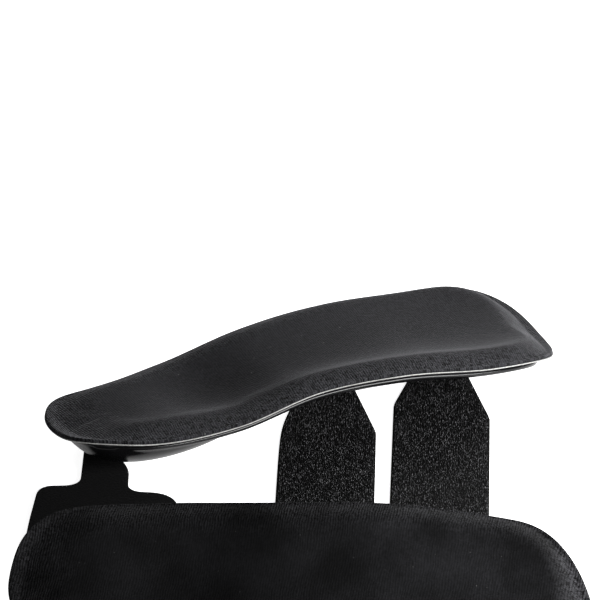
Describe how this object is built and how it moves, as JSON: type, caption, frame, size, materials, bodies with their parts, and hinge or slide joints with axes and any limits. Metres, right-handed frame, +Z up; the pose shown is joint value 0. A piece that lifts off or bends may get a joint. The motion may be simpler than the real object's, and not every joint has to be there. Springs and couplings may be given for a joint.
{
  "type": "stirrup ankle brace",
  "caption": "Stirrup ankle brace laid open: rigid shells lined with knit-covered foam pads, joined by a cloth heel strap, with hook-faced straps that close it round the ankle.",
  "frame": {"origin": "bottom centre of the bounding box, on the table under the brace", "axes": "+X from the heel ends to the calf ends, +Y from the near half to the far half, +Z up off the table"},
  "size_m": [0.2422, 0.347, 0.0548],
  "materials": {
    "shell_plastic": "glossy black moulded plastic",
    "pad_backing": "smooth grey backing layer",
    "pad_knit": "fine black knit over foam",
    "hook_tape": "black hook tape, hooks up",
    "heel_cloth": "matte black loop cloth"
  },
  "bodies": {
    "root": {"far_shell": "shell_plastic", "far_backing": "pad_backing", "far_pad": "pad_knit", "near_shell": "shell_plastic", "near_backing": "pad_backing", "near_pad": "pad_knit", "ankle_strap": "hook_tape", "calf_strap": "hook_tape", "heel_strap": "heel_cloth"}
  },
  "joints": []
}
